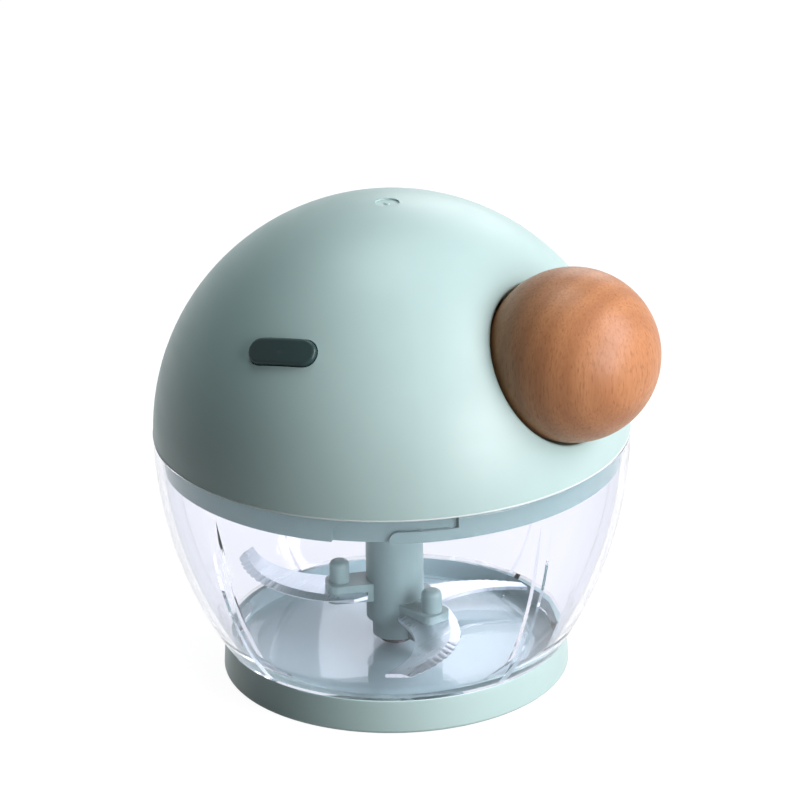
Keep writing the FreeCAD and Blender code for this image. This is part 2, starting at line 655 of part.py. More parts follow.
def make_handle_ball():
    ball = new_body("handle_ball")
    mouth = "-sqrt(ball_radius^2 - anchor_radius^2)"
    turned(ball, "ball_profile", [
        ("anchor_radius", mouth, "ball_radius"), ("ball_radius", "0", "ball_radius"),
        ("0", "ball_radius"), ("0", "-11"), ("anchor_radius", "-11")])
    return on_pull_axis(ball, "ball_reach")


def make_ball_insert():
    insert = new_body("ball_insert")
    turned(insert, "insert_profile", [
        ("cord_radius + 0.1", "-22.1"), ("anchor_radius - 0.02", "-22.1"),
        ("anchor_radius - 0.02", "-14.2"), ("cord_radius + 0.1", "-14.2")])
    return on_pull_axis(insert, "ball_reach")


def make_cord_knot():
    knot = primitive("Part::Sphere", "cord_knot", along_pull("ball_reach - 12.6"), PULL_SPIN, Radius="1.55")
    return knot


def make_cord_eyelet():
    eyelet = new_body("cord_eyelet")
    wall = "-(socket_radius + socket_wall)"
    bore = "cord_radius + 0.25"
    turned(eyelet, "eyelet_profile", [
        (bore, "-(socket_radius + 0.15)"), (bore, f"{wall} - 0.8"), (f"{bore} + 0.9", f"{wall} - 1.7"),
        ("3.6", f"{wall} - 1.7"), ("3.6", f"{wall} - 0.25"), ("eyelet_radius", f"{wall} - 0.25"),
        ("eyelet_radius", "-(socket_radius + 0.15)")])
    return on_pull_axis(eyelet, "ball_reach")


def make_pull_cord():
    """Straight off the drum at a tangent, one bend, then along the pull axis into the ball."""
    cord = amount("cord_radius")
    wound = amount("drum_radius") + cord
    bend = Vector(*(amount(text) for text in along_pull("ball_reach - socket_radius - socket_wall - 5.5")))
    end = Vector(*(amount(text) for text in along_pull("ball_reach - 14.15")))
    turn = -math.acos(wound / bend.x)
    start = Vector(wound * math.cos(turn), wound * math.sin(turn), amount("cord_leaves"))
    arriving, leaving = (bend - start).normalize(), (end - bend).normalize()
    radius = 6.0
    angle = arriving.getAngle(leaving)
    reach = radius * math.tan(angle / 2)
    first, last = bend - arriving * reach, bend + leaving * reach
    inward = (leaving - arriving).normalize()
    middle = bend + inward * (radius / math.cos(angle / 2) - radius)
    edges = [Part.LineSegment(start, first), Part.Arc(first, middle, last), Part.LineSegment(last, end)]
    path = Part.Wire([edge.toShape() for edge in edges])
    section = Part.Wire([Part.Circle(start, arriving, cord).toShape()])
    tube = path.makePipeShell([section], True, False)
    print("pull cord: length", round(path.Length, 2), "bend radius", radius,
          "volume ratio", round(tube.Volume / (math.pi * cord ** 2 * path.Length), 4))
    return plain("pull_cord", tube)


# ---------------------------------------------------------------- button

def make_press_button():
    block = capsule("button_block", "button_length", "button_width", "button_under", "dome_radius + 4")
    ball = primitive("Part::Sphere", "button_face", ("0", "0", "dome_centre"), BUTTON_PLACE.Rotation,
                     Radius="dome_radius + button_proud")
    cap = doc.addObject("Part::Common", "button_cap")
    cap.Base, cap.Tool = block, ball
    doc.recompute()
    face = amount("dome_radius") + amount("button_proud")
    centre = BUTTON_PLACE.Base
    soft = doc.addObject("Part::Fillet", "button_soft")
    soft.Base = cap
    names = edges_where(cap.Shape, lambda edge: all(abs((vertex.Point - centre).Length - face) < 0.01
                                                    for vertex in edge.Vertexes))
    soft.Edges = [(int(name[4:]), 0.9, 0.9) for name in names]
    doc.recompute()
    stem = new_body("button_stem")
    raised(stem, "stem_shaft", "well_floor - 3.2", "button_under + 1", circles=[("0", "0", "stem_radius")])
    stem.Placement = BUTTON_PLACE
    button = fused("press_button", [soft, stem])
    return button


def make_button_clip():
    clip = new_body("button_clip")
    turned(clip, "clip_ring", [
        ("stem_radius + 0.01", "well_floor - 0.75"), ("3.1", "well_floor - 0.75"),
        ("3.1", "well_floor - 0.05"), ("stem_radius + 0.01", "well_floor - 0.05")])
    clip.Placement = BUTTON_PLACE
    return clip


def make_button_spring():
    """A compression spring round the stem, between the well's floor and the button.

    Its line is tilted half turns, each a true arc that carries straight on into the next.
    """
    wire, coil, half_turns = 0.3, 2.5, 8
    floor = amount("well_floor + well_floor_wall")
    low = floor + wire + 0.02
    rise = (amount("button_under") - 2 * wire - 0.04 - floor) / half_turns
    depth = math.hypot(coil, rise / 2)
    edges = []
    for number in range(half_turns):
        side = -coil if number % 2 else coil
        level = number * rise
        middle = Vector(0, math.copysign(depth, side), level + rise / 2)
        arc = Part.Arc(Vector(side, 0, level), middle, Vector(-side, 0, level + rise))
        edges.append(arc.toShape())
    section = Part.Wire([Part.Circle(Vector(coil, 0, 0), Vector(0, 1, rise / (2 * coil)), wire).toShape()])
    spring = Part.Wire(edges).makePipeShell([section], True, False)
    item = plain("button_spring", spring)
    item.Placement = BUTTON_PLACE.multiply(Placement(Vector(0, 0, low), Rotation()))
    return item


# ---------------------------------------------------------------- blade column

ARMS = ("upper", "middle", "lower")


def arm_level(number):
    return f"(arm_top - {number} * arm_step)"


def arm_turn(number):
    return f"first_arm_turn + {number} * 120"


def make_blade_column():
    column = new_body("blade_column")
    bore = "pivot_radius + running_gap"
    turned(column, "column_profile", [
        (bore, "sleeve_low"), ("sleeve_outer", "sleeve_low"), ("sleeve_outer", "column_low"),
        ("column_radius", "column_low"), ("column_top_radius", "column_top"),
        ("socket_bore", "column_top"), ("socket_bore", "socket_floor"), ("0", "socket_floor"),
        ("0", "pivot_top + 0.3"), (bore, "pivot_top + 0.3")])
    dog = raised(column, "socket_dog", "socket_floor - 0.5", "column_top - 1.5",
                 dog_outline("4.4", "socket_bore + 0.3", "dog_angle"))
    repeated(column, "socket_dogs", [dog], 3)
    half = "arm_width / 2"
    for number, name in enumerate(ARMS):
        top = arm_level(number)
        block = [("5.6", f"-{half}"), ("arm_reach - 2.4", f"-{half}", "2.4"), ("arm_reach", f"2.4 - {half}"),
                 ("arm_reach", f"{half} - 2.4", "2.4"), ("arm_reach - 2.4", half), ("5.6", half)]
        turn = arm_turn(number)
        raised(column, name + "_arm", f"{top} - arm_height", top, block, turn=turn)
        slot = [("column_radius + 0.3", "-8"), ("arm_reach + 2", "-8"), ("arm_reach + 2", "8"),
                ("column_radius + 0.3", "8")]
        low = f"{top} - blade_below_top - blade_thick"
        raised(column, name + "_slot", f"{low} - 0.03", f"{low} + blade_thick + 0.03", slot, cut=True,
               turn=turn)
        raised(column, name + "_stake", f"{low} - 0.5", f"{low} + blade_thick + 0.5", turn=turn,
               circles=[("peg_reach - 1.5", "0", "1.5")])
        raised(column, name + "_peg", f"{top} - 0.5", f"{top} + peg_height", turn=turn,
               circles=[("peg_reach", "0", "peg_radius")])
        level = amount(f"{top} + peg_height")
        rounded(column, name + "_peg_round", 1.5,
                lambda edge, level=level: is_circle(edge, amount("peg_radius"), level))
    raised(column, "middle_leg", "sleeve_low", f"{arm_level(1)} - arm_height + 0.5", turn=arm_turn(1), corners=[
        ("5", "-1"), ("16.2", "-1"), ("17.4", "0.2"), ("17.4", "1.4"), ("16.2", "2.2"), ("5", "2.2")])
    return column


def make_blade(number, name, reach):
    """A crescent blade: it leads with its convex edge as the column turns anticlockwise."""
    blade = new_body(f"blade_{name}")
    lead = (0.815 * reach, -0.579 * reach)
    tip = (0.716 * reach, -0.684 * reach)
    outline = [
        ("8.6", "-6.4"), ("8.6", "6.4"), ("12.4", "7.8", "-33"), (f"{lead[0]}", f"{lead[1]}"),
        (f"{tip[0]}", f"{tip[1]}", "25"), ("15.5", "-8.6")]
    low = f"{arm_level(number)} - blade_below_top - blade_thick"
    raised(blade, f"blade_{name}_plate", low, f"{low} + blade_thick", outline, turn=arm_turn(number))
    raised(blade, f"blade_{name}_eye", f"{low} - 1", f"{low} + 2", cut=True, turn=arm_turn(number),
           circles=[("peg_reach - 1.5", "0", "1.56")])
    start, stop = Vector(12.4, 7.8, 0), Vector(lead[0], lead[1], 0)
    half = (stop - start) * 0.5
    centre = start + half + Vector(half.y, -half.x, 0).normalize() * math.sqrt(33 ** 2 - half.Length ** 2)
    begin = math.degrees(math.atan2(start.y - centre.y, start.x - centre.x))
    finish = math.degrees(math.atan2(stop.y - centre.y, stop.x - centre.x))
    scallops = [(str(centre.x + 33.55 * math.cos(math.radians(angle))),
                 str(centre.y + 33.55 * math.sin(math.radians(angle))), "0.95")
                for angle in (begin + (finish - begin) * (0.52 + 0.06 * step) for step in range(8))]
    raised(blade, f"blade_{name}_scallops", f"{low} - 1", f"{low} + 2", cut=True, turn=arm_turn(number),
           circles=scallops)
    return blade


# ---------------------------------------------------------------- build, check and write

parts = [
    make_bowl(), make_base_dish(), make_foot_pad(), make_pivot_pin(),
    make_lid_seal(), make_dome_shell(), make_lid_plate(), make_dome_screws(),
    make_reel_housing(), make_housing_screws(), make_spool_axle(), make_hub_washer(), make_rewind_spring(),
    make_drive_hub(), make_spool(), make_wound_cord(), make_spring_retainer(),
    make_clutch_pawl("clutch_pawl_a", 0), make_clutch_pawl("clutch_pawl_b", 180),
    make_handle_ball(), make_ball_insert(), make_cord_knot(), make_cord_eyelet(), make_pull_cord(),
    make_press_button(), make_button_clip(), make_button_spring(),
    make_blade_column(), make_blade(0, "upper", 47.0), make_blade(1, "middle", 45.0),
    make_blade(2, "lower", 40.6),
]
doc.recompute()

failed = [item.Label for item in doc.Objects if {"Invalid", "Error"} & set(item.State)]
if failed:
    raise SystemExit(f"objects that failed: {failed}")
os.makedirs("parts", exist_ok=True)
for part in parts:
    shape = part.Shape
    if shape.isNull() or not shape.isValid() or not shape.Solids:
        raise SystemExit(f"{part.Label} has no valid shape")
    box = shape.BoundBox
    print(f"{part.Label:18s} solids {len(shape.Solids)}  volume {shape.Volume:9.1f}  "
          f"z {box.ZMin:7.2f} to {box.ZMax:7.2f}")
for part in parts:
    part.Shape.exportStep(f"parts/{part.Label}.step")
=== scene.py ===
import json
import math

import bmesh
import bpy
from mathutils import Matrix, Vector


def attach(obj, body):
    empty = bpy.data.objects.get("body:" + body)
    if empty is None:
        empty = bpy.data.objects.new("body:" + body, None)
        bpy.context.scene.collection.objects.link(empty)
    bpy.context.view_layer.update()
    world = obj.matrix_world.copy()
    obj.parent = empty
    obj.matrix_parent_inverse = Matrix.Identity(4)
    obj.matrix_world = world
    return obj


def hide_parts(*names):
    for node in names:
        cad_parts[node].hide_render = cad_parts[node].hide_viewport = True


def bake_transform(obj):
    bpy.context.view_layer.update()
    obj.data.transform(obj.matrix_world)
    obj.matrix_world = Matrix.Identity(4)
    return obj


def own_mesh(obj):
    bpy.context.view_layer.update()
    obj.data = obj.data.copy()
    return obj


# Hand-pulled food chopper: the looks. Lengths are in metres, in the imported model's frame:
# Z is up, the bowl's axis is Z, the wooden pull handle faces +X and the press button -Y.

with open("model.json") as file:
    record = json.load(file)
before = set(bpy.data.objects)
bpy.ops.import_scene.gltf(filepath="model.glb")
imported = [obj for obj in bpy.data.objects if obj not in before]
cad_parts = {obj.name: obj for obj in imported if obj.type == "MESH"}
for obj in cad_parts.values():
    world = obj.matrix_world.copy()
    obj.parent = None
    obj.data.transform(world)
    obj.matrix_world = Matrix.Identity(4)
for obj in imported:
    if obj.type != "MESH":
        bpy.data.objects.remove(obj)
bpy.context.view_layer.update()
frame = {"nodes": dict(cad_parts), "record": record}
MM = 0.001

DOME_CENTRE = Vector((0, 0, 67.76)) * MM
PULL_RISE = math.radians(29.85)
PULL = Vector((math.cos(PULL_RISE), 0, math.sin(PULL_RISE)))
BUTTON_TURN, BUTTON_RISE = math.radians(-86.72), math.radians(37.66)
BUTTON = Vector((math.cos(BUTTON_RISE) * math.cos(BUTTON_TURN),
                 math.cos(BUTTON_RISE) * math.sin(BUTTON_TURN), math.sin(BUTTON_RISE)))
CORD_RADIUS = 0.8 * MM
CORD_DRAWN = CORD_RADIUS * 0.98

# How bright the stage is to look at, as diffuse light on the object and in its reflections.
WORLD_SEEN, WORLD_FILL, WORLD_GLOSS = 1.0, 0.006, 0.9
FLOOR_SEEN, FLOOR_FILL, FLOOR_GLOSS = 0.96, 0.005, 0.9


# ---------------------------------------------------------------- camera, lights and stage

def make_camera():
    """A long lens that looks down a little at the front left of the handle."""
    target, distance, roll = Vector((1.85, 1.37, 75.2)) * MM, 1260 * MM, math.radians(1.13)
    back = Vector((0.5495, -0.7426, 0.3829)).normalized()
    right = Vector((0, 0, 1)).cross(back).normalized()
    up = back.cross(right)
    across = right * math.cos(roll) - up * math.sin(roll)
    upward = right * math.sin(roll) + up * math.cos(roll)
    data = bpy.data.cameras.new("camera")
    data.lens = 215.2
    data.sensor_width = 36
    data.clip_end = 20
    camera = bpy.data.objects.new("camera", data)
    camera.matrix_world = Matrix((across, upward, back)).transposed().to_4x4()
    camera.location = target + back * distance
    bpy.context.scene.collection.objects.link(camera)
    bpy.context.scene.camera = camera
    return right, up, back, target


RIGHT, UP, BACK, TARGET = make_camera()


def softbox(name, way, distance, width, power, colour=(1, 1, 1)):
    """An area light that faces the object. Its way is right, up and towards, as the camera sees it."""
    side, height, towards = way
    direction = (RIGHT * side + UP * height + BACK * towards).normalized()
    data = bpy.data.lights.new(name, "AREA")
    data.shape = "DISK"
    data.size = width
    data.energy = power
    data.color = colour
    lamp = bpy.data.objects.new(name, data)
    lamp.location = TARGET + direction * distance
    lamp.rotation_mode = "QUATERNION"
    lamp.rotation_quaternion = direction.to_track_quat("Z", "Y")
    bpy.context.scene.collection.objects.link(lamp)


def add(tree, kind, inputs=None, **settings):
    """A node with its settings, and with values or links on its inputs."""
    item = tree.nodes.new(kind)
    for key, value in settings.items():
        setattr(item, key, value)
    for key, value in (inputs or {}).items():
        if isinstance(value, bpy.types.NodeSocket):
            tree.links.new(value, item.inputs[key])
        else:
            item.inputs[key].default_value = value
    return item


def seen_or_lit(tree, seen, diffuse, glossy):
    """A strength for what is looked at, straight or through clear plastic, another for what
    it sheds as diffuse light and another for what it shows in reflections."""
    path = add(tree, "ShaderNodeLightPath").outputs
    reflected = add(tree, "ShaderNodeMath", {0: path["Is Glossy Ray"], 1: path["Is Transmission Ray"]},
                    operation="SUBTRACT", use_clamp=True).outputs[0]
    plain = add(tree, "ShaderNodeMix", {0: path["Is Diffuse Ray"], 2: seen, 3: diffuse}).outputs[0]
    return add(tree, "ShaderNodeMix", {0: reflected, 2: plain, 3: glossy}).outputs[0]


def make_world():
    """A pale room: white to look at, dimmer as a source of light so that the softboxes shape."""
    world = bpy.data.worlds.new("studio")
    bpy.context.scene.world = world
    world.use_nodes = True
    tree = world.node_tree
    tree.nodes.clear()
    strength = seen_or_lit(tree, WORLD_SEEN, WORLD_FILL, WORLD_GLOSS)
    back = add(tree, "ShaderNodeBackground", {"Color": (0.96, 0.98, 1.0, 1), "Strength": strength})
    add(tree, "ShaderNodeOutputWorld", {"Surface": back.outputs[0]})


def make_floor():
    """A wide pale floor that glows a little, so that it stays even behind the object."""
    mesh = bpy.data.meshes.new("studio_floor")
    half, drop, grey = 4.0, 0.02 * MM, 0.13
    corners = [(-half, -half, 0), (half, -half, 0), (half, half, 0), (-half, half, 0)]
    mesh.from_pydata(corners, [], [(0, 1, 2, 3)])
    floor = bpy.data.objects.new("studio_floor", mesh)
    floor.location.z = -drop
    bpy.context.scene.collection.objects.link(floor)
    material = bpy.data.materials.new("studio_floor")
    material.use_nodes = True
    tree = material.node_tree
    tree.nodes.clear()
    strength = seen_or_lit(tree, FLOOR_SEEN, FLOOR_FILL, FLOOR_GLOSS)
    glow = add(tree, "ShaderNodeEmission", {"Color": (1, 1, 1, 1), "Strength": strength})
    matt = add(tree, "ShaderNodeBsdfDiffuse", {"Color": (grey, grey, grey, 1)})
    both = add(tree, "ShaderNodeAddShader", {0: glow.outputs[0], 1: matt.outputs[0]})
    add(tree, "ShaderNodeOutputMaterial", {"Surface": both.outputs[0]})
    mesh.materials.append(material)


make_world()
make_floor()
softbox("key", (0.79, 0.42, 0.44), distance=1.0, width=0.6, power=9.9, colour=(1.0, 0.87, 0.88))
softbox("low_key", (0.71, -0.08, 0.70), distance=1.0, width=0.6, power=8.3, colour=(1.0, 0.94, 0.945))
softbox("rim", (-0.42, 0.44, -0.87), distance=1.0, width=0.6, power=0.1, colour=(0.93, 0.98, 1.0))
softbox("window", (0.20, 0.71, -0.71), distance=1.0, width=0.5, power=1.4)
softbox("top", (-0.05, 0.95, 0.16), distance=1.1, width=0.6, power=3.5, colour=(0.86, 1.0, 1.0))
bpy.context.scene.view_settings.view_transform = "Standard"


# ---------------------------------------------------------------- materials

def new_tree(name):
    material = bpy.data.materials.new(name)
    material.use_nodes = True
    material.node_tree.nodes.clear()
    return material, material.node_tree


def place(tree, scale=(1, 1, 1), rotation=(0, 0, 0), location=(0, 0, 0)):
    """Positions on the object, scaled and turned."""
    where = add(tree, "ShaderNodeTexCoord")
    return add(tree, "ShaderNodeMapping", {
        "Vector": where.outputs["Object"], "Scale": scale, "Rotation": rotation,
        "Location": location}).outputs[0]


def noise(tree, vector, scale, detail=3.0, roughness=0.55, distortion=0.0):
    return add(tree, "ShaderNodeTexNoise", {
        "Vector": vector, "Scale": scale, "Detail": detail, "Roughness": roughness,
        "Distortion": distortion}).outputs["Fac"]


def spread(tree, value, low, high, start=0.3, end=0.7):
    """The value's range from start to end, spread between low and high."""
    return add(tree, "ShaderNodeMapRange", {
        "Value": value, "From Min": start, "From Max": end, "To Min": low, "To Max": high}).outputs[0]


def blend_colour(tree, factor, first, second):
    mix = add(tree, "ShaderNodeMix", {0: factor}, data_type="RGBA")
    for index, colour in ((6, first), (7, second)):
        if isinstance(colour, bpy.types.NodeSocket):
            tree.links.new(colour, mix.inputs[index])
        else:
            mix.inputs[index].default_value = (*colour, 1)
    return mix.outputs[2]


def bump(tree, height, distance, strength=1.0, normal=None):
    inputs = {"Height": height, "Distance": distance, "Strength": strength}
    if normal:
        inputs["Normal"] = normal
    return add(tree, "ShaderNodeBump", inputs).outputs[0]


def surface(tree, inputs):
    """The principled shader with these inputs, as the material's surface."""
    shader = add(tree, "ShaderNodeBsdfPrincipled", inputs)
    add(tree, "ShaderNodeOutputMaterial", {"Surface": shader.outputs[0]})


def moulded(name, colour, roughness, grain=0.000012, coat=0.0, specular=0.5):
    """Moulded plastic: a fine etched grain, faint flow marks and a soft change of sheen."""
    material, tree = new_tree(name)
    vector = place(tree)
    clouds = noise(tree, vector, 22, 4)
    specks = noise(tree, vector, 2600, 2)
    flow = noise(tree, place(tree, (1, 1, 5)), 60, 3, distortion=0.6)
    darker = tuple(channel * 0.955 for channel in colour)
    lighter = tuple(min(1, channel * 1.03) for channel in colour)
    shade = blend_colour(tree, spread(tree, clouds, 0, 1), darker, lighter)
    rough = add(tree, "ShaderNodeMath", {
        0: spread(tree, flow, roughness * 0.9, roughness * 1.08),
        1: spread(tree, specks, -0.03, 0.03)}, operation="ADD").outputs[0]
    relief = bump(tree, specks, grain, 0.6)
    surface(tree, {"Base Color": shade, "Roughness": rough, "Normal": relief,
                   "Specular IOR Level": specular, "Coat Weight": coat, "Coat Roughness": 0.12})
    return material


def clear_plastic(name, tint, edge_tint):
    """Clear moulded plastic, a little deeper in tint where the wall is seen edge on. Lamps shine
    through it, as they do through a thin clear wall."""
    material, tree = new_tree(name)
    facing = add(tree, "ShaderNodeLayerWeight", {"Blend": 0.5}).outputs["Facing"]
    shade = blend_colour(tree, spread(tree, facing, 0, 1, 0.45, 1.0), tint, edge_tint)
    smears = noise(tree, place(tree, (1, 1, 0.35)), 45, 4, distortion=0.8)
    waves = noise(tree, place(tree, (1, 1, 0.5)), 38, 2)
    rough = spread(tree, smears, 0.006, 0.0288, 0.35, 0.75)
    relief = bump(tree, waves, 0.00006, 0.35)
    shader = add(tree, "ShaderNodeBsdfPrincipled", {
        "Base Color": shade, "Roughness": rough, "Normal": relief, "IOR": 1.12,
        "Transmission Weight": 1.0, "Coat Weight": 0.4, "Coat Roughness": 0.03})
    path = add(tree, "ShaderNodeLightPath")
    lamp = add(tree, "ShaderNodeBsdfTransparent", {"Color": (0.93, 0.93, 0.945, 1)})
    mixed = add(tree, "ShaderNodeMixShader", {
        0: path.outputs["Is Shadow Ray"], 1: shader.outputs[0], 2: lamp.outputs[0]})
    add(tree, "ShaderNodeOutputMaterial", {"Surface": mixed.outputs[0]})
    return material


def beech(name):
    """Oiled beech: soft growth rings, long fibres and the short dark flecks of its rays."""
    material, tree = new_tree(name)
    turn = (math.radians(10), math.radians(6), math.radians(20))
    rings_at = place(tree, (1, 1, 0.16), turn, (0.021, 0.006, 0))
    rings = add(tree, "ShaderNodeTexWave", {
        "Vector": rings_at, "Scale": 55, "Distortion": 2.6, "Detail": 2, "Detail Scale": 1.2},
        wave_type="RINGS", rings_direction="Z").outputs["Fac"]
    fibres_at = place(tree, (1, 1, 0.045), turn)
    fibres = noise(tree, fibres_at, 1500, 4, 0.6)
    flecks_at = place(tree, (1, 0.6, 0.16), turn)
    flecks = noise(tree, flecks_at, 2300, 3, 0.55)
    clouds = noise(tree, place(tree, (1, 1, 0.4), turn), 70, 3)
    late = spread(tree, rings, 0, 1, 0.1, 0.9)
    base = blend_colour(tree, late, (0.435, 0.198, 0.083), (0.36, 0.155, 0.063))
    varied = blend_colour(tree, spread(tree, clouds, 0, 0.55), base, (0.48, 0.238, 0.108))
    streaked = blend_colour(tree, spread(tree, fibres, 0, 0.5, 0.42, 0.72), varied, (0.305, 0.12, 0.048))
    fleck_mask = spread(tree, flecks, 0, 0.6, 0.54, 0.72)
    colour = blend_colour(tree, fleck_mask, streaked, (0.225, 0.085, 0.031))
    rough = spread(tree, fibres, 0.36, 0.52)
    pores = bump(tree, fleck_mask, 0.00004, 0.5)
    relief = bump(tree, fibres, 0.00002, 0.5, pores)
    surface(tree, {"Base Color": colour, "Roughness": rough, "Normal": relief,
                   "Coat Weight": 0.05, "Coat Roughness": 0.2, "Specular IOR Level": 0.4})
    return material


def metal(name, colour, roughness, brushed, grain=0.000008):
    """Metal with its grinding or drawing marks stretched along one axis."""
    material, tree = new_tree(name)
    marks = noise(tree, place(tree, brushed), 1800, 3, 0.65)
    stains = noise(tree, place(tree), 90, 3)
    darker = tuple(channel * 0.82 for channel in colour)
    shade = blend_colour(tree, spread(tree, marks, 0, 1), darker, colour)
    rough = add(tree, "ShaderNodeMath", {
        0: spread(tree, marks, roughness * 0.7, roughness * 1.35),
        1: spread(tree, stains, -0.02, 0.04)}, operation="ADD").outputs[0]
    relief = bump(tree, marks, grain, 0.5)
    surface(tree, {"Base Color": shade, "Metallic": 1.0, "Roughness": rough, "Normal": relief})
    return material


def rubbery(name, colour, roughness=0.72):
    """Soft rubber: a matt skin with a fine pebble and dust that settles unevenly."""
    material, tree = new_tree(name)
    vector = place(tree)
    pebble = add(tree, "ShaderNodeTexVoronoi", {"Vector": vector, "Scale": 1600},
                 feature="SMOOTH_F1").outputs["Distance"]
    dust = noise(tree, vector, 60, 4)
    shade = blend_colour(tree, spread(tree, dust, 0, 1), colour, tuple(min(1, c * 1.12) for c in colour))
    relief = bump(tree, pebble, 0.00002, 0.5)
    surface(tree, {"Base Color": shade, "Roughness": spread(tree, dust, roughness * 0.9, roughness),
                   "Normal": relief, "Sheen Weight": 0.15, "Sheen Roughness": 0.4})
    return material


def braid(name):
    """Braided cord: two sets of strands that cross round the line of pull."""
    strands_around, twist_along = 4.0, 5200.0
    material, tree = new_tree(name)
    where = add(tree, "ShaderNodeTexCoord")
    centred = add(tree, "ShaderNodeVectorMath", {0: where.outputs["Object"], 1: DOME_CENTRE},
                  operation="SUBTRACT").outputs[0]
    turned = add(tree, "ShaderNodeVectorRotate", {"Vector": centred, "Angle": PULL_RISE - math.pi / 2},
                 rotation_type="Y_AXIS").outputs[0]
    parts = add(tree, "ShaderNodeSeparateXYZ", {0: turned})
    angle = add(tree, "ShaderNodeMath", {0: parts.outputs[1], 1: parts.outputs[0]}, operation="ARCTAN2")
    around = add(tree, "ShaderNodeMath", {0: angle.outputs[0], 1: strands_around},
                 operation="MULTIPLY").outputs[0]
    along = add(tree, "ShaderNodeMath", {0: parts.outputs[2], 1: twist_along},
                operation="MULTIPLY").outputs[0]
    strands = []
    for way in ("ADD", "SUBTRACT"):
        phase = add(tree, "ShaderNodeMath", {0: along, 1: around}, operation=way)
        strands.append(add(tree, "ShaderNodeMath", {0: phase.outputs[0]}, operation="SINE").outputs[0])
    weave = add(tree, "ShaderNodeMath", {0: strands[0], 1: strands[1]}, operation="MAXIMUM").outputs[0]
    fuzz = noise(tree, where.outputs["Object"], 9000, 2)
    # Darker between the strands: painted shade in the grooves of the braid.
    shade = blend_colour(tree, spread(tree, weave, 0, 1, -0.4, 0.9), (0.52, 0.52, 0.50), (0.84, 0.84, 0.82))
    relief = bump(tree, fuzz, 0.00002, 0.4, bump(tree, weave, 0.0001, 0.8))
    surface(tree, {"Base Color": shade, "Roughness": spread(tree, fuzz, 0.7, 0.9), "Normal": relief,
                   "Sheen Weight": 0.3, "Sheen Roughness": 0.5})
    return material


MINT = (0.41, 0.59, 0.583)
MATERIALS = {
    "clear_plastic": clear_plastic("bowl_plastic", (0.92, 0.93, 0.975), (0.7, 0.73, 0.82)),
    "mint_matte": moulded("mint_matte", MINT, 0.38, specular=0.4),
    # The lid plate with its skirt: the mint darkened to about a third, painted shade for the shade it sits in
    # under the dome and behind the clear bowl.
    "mint_lid": moulded("mint_lid", (0.13, 0.2, 0.202), 0.42, specular=0.35),
    # The press button: the mint darkened to under a tenth, painted shade for the shade on its face.
    "mint_gloss": moulded("mint_button_painted_shade", (0.022, 0.052, 0.053), 0.24, grain=0.000004, specular=0.22),
    "foot_rubber": rubbery("foot_rubber", (0.36, 0.42, 0.41)),
    "seal_silicone": rubbery("seal_silicone", (0.60, 0.70, 0.70), 0.4),
    "blade_steel": metal("blade_steel", (0.70, 0.75, 0.81), 0.33, (1, 0.06, 1), grain=0.0000015),
    "bright_steel": metal("bright_steel", (0.78, 0.78, 0.79), 0.16, (1, 1, 0.1)),
    "spring_steel": metal("spring_steel", (0.40, 0.42, 0.48), 0.3, (1, 1, 0.1)),
    "reel_plastic": moulded("reel_plastic", (0.80, 0.80, 0.775), 0.5),
    "pawl_plastic": moulded("pawl_plastic", (0.05, 0.052, 0.057), 0.42),
    "wood": beech("beech"),
    "cord_fibre": braid("braided_cord"),
}
# The blade column: the mint darkened to a little over a third, painted shade for the shade it stands in
# inside the bowl under the lid.
PAINTED_SHADE_FINISH = {"blade_column": moulded("mint_column_painted_shade", (0.15, 0.228, 0.228), 0.36, specular=0.45)}
for item in frame["record"]["subparts"]:
    node = frame["nodes"][item["node"]]
    finish = PAINTED_SHADE_FINISH.get(item["node"], MATERIALS[item["material_slot"]])
    for index in range(len(node.material_slots)):
        node.material_slots[index].material = finish


# ---------------------------------------------------------------- pieces

def new_piece(name, mesh, slot, body, *nodes):
    """A piece that stands for CAD nodes, with the finish of a record's slot."""
    piece = bpy.data.objects.new(name, mesh)
    bpy.context.scene.collection.objects.link(piece)
    mesh.materials.append(MATERIALS[slot])
    if body:
        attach(piece, body)
    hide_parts(*nodes)
    return piece


def tube_mesh(name, points, radius, sides=16):
    """A round tube that follows the points, with closed ends."""
    shape = bmesh.new()
    rings = []
    side = Vector((0, 0, 1))
    for index, point in enumerate(points):
        ahead = points[min(index + 1, len(points) - 1)] - points[max(index - 1, 0)]
        ahead.normalize()
        side = (side - ahead * side.dot(ahead)).normalized()
        across = ahead.cross(side)
        rings.append([shape.verts.new(point + (side * math.cos(turn) + across * math.sin(turn)) * radius)
                      for turn in (2 * math.pi * step / sides for step in range(sides))])
    for first, second in zip(rings, rings[1:]):
        for step in range(sides):
            following = (step + 1) % sides
            shape.faces.new((first[step], first[following], second[following], second[step]))
    shape.faces.new(reversed(rings[0]))
    shape.faces.new(rings[-1])
    bmesh.ops.recalc_face_normals(shape, faces=shape.faces)
    mesh = bpy.data.meshes.new(name)
    shape.to_mesh(mesh)
    shape.free()
    for face in mesh.polygons:
        face.use_smooth = len(face.vertices) == 4
    return mesh


